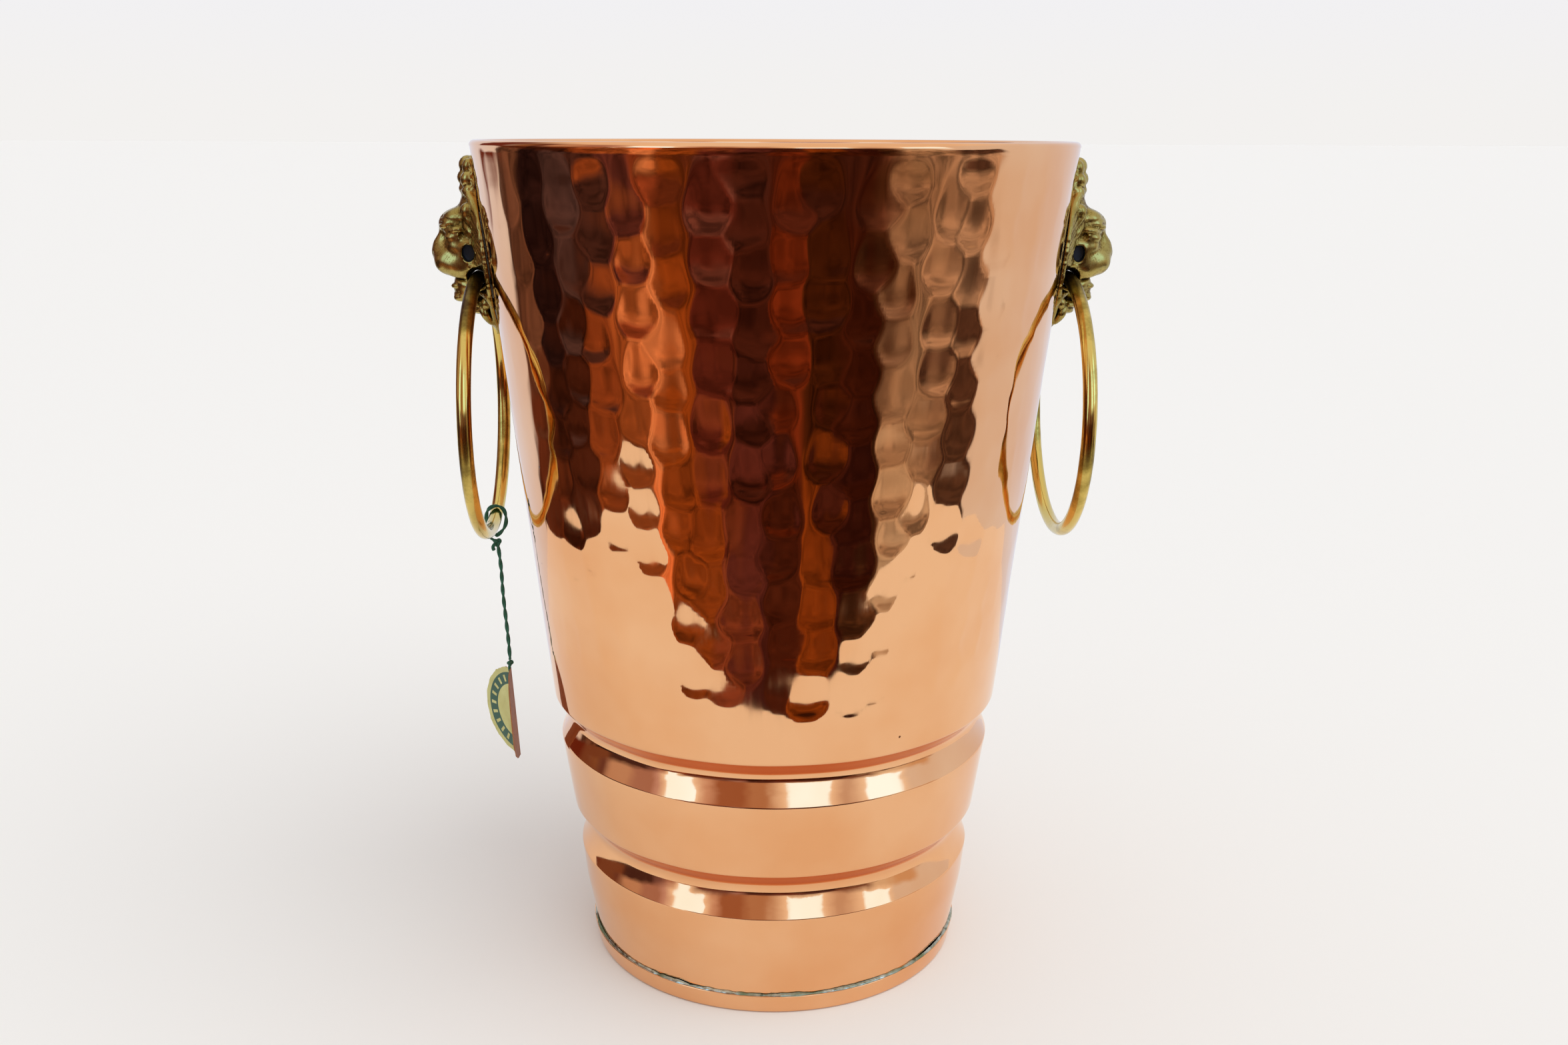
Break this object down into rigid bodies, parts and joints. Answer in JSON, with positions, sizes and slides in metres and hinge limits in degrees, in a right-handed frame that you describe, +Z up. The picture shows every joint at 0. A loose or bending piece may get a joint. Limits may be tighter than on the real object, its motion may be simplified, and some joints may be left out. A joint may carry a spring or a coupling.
{
  "type": "ice bucket",
  "caption": "Tall tapered copper ice bucket with two stepped bands, lion masks holding ring handles, and a round tag on a string.",
  "frame": {"origin": "centre of the base, on the surface that the bucket stands on", "axes": "+Z up along the bucket's axis, +X and -X towards the two lion masks"},
  "size_m": [0.2284, 0.1998, 0.285],
  "materials": {
    "copper": "polished hammered copper, lacquered",
    "tin_solder": "soft solder, wiped, with green and dark tarnish",
    "steel_wire": "drawn wire",
    "cast_brass": "cast, aged, darker in the recesses",
    "bar_brass": "drawn bar, polished, pitted low down",
    "string": "two twisted strands of dark green cotton",
    "card": "printed card, yellow-green with a dark green band, brown back"
  },
  "bodies": {
    "bucket": {"body_shell": "copper", "rim_wire": "steel_wire", "base_pan": "copper", "base_solder": "tin_solder", "left_lion_mask": "cast_brass", "right_lion_mask": "cast_brass", "left_upper_stud": "bar_brass", "left_lower_stud": "bar_brass", "right_upper_stud": "bar_brass", "right_lower_stud": "bar_brass", "left_upper_washer": "bar_brass", "left_lower_washer": "bar_brass", "right_upper_washer": "bar_brass", "right_lower_washer": "bar_brass", "left_upper_nut": "bar_brass", "left_lower_nut": "bar_brass", "right_upper_nut": "bar_brass", "right_lower_nut": "bar_brass"},
    "left_handle": {"left_ring": "bar_brass"},
    "right_handle": {"right_ring": "bar_brass"},
    "tag": {"string_loop": "string", "string_knot": "string", "tag_string": "string", "tag_knot": "string", "tag_card": "card"}
  },
  "joints": [
    {"name": "right_ring_swing", "type": "hinge", "parent": "bucket", "child": "right_handle", "pos_m": [0.09971, 0, 0.23996], "axis": [0, -1, 0], "range_deg": [-7.5, 150]},
    {"name": "left_ring_swing", "type": "hinge", "parent": "bucket", "child": "left_handle", "pos_m": [-0.09971, 0, 0.23996], "axis": [0, 1, 0], "range_deg": [-6.5, 150]},
    {"name": "tag_swing", "type": "hinge", "parent": "left_handle", "child": "tag", "pos_m": [-0.09971, 0.01207, 0.15406], "axis": [0, 1, 0], "range_deg": [-150, 6.5]}
  ],
  "couplings": [
    {"joint": "tag_swing", "follows": "left_ring_swing", "ratio": -1}
  ]
}
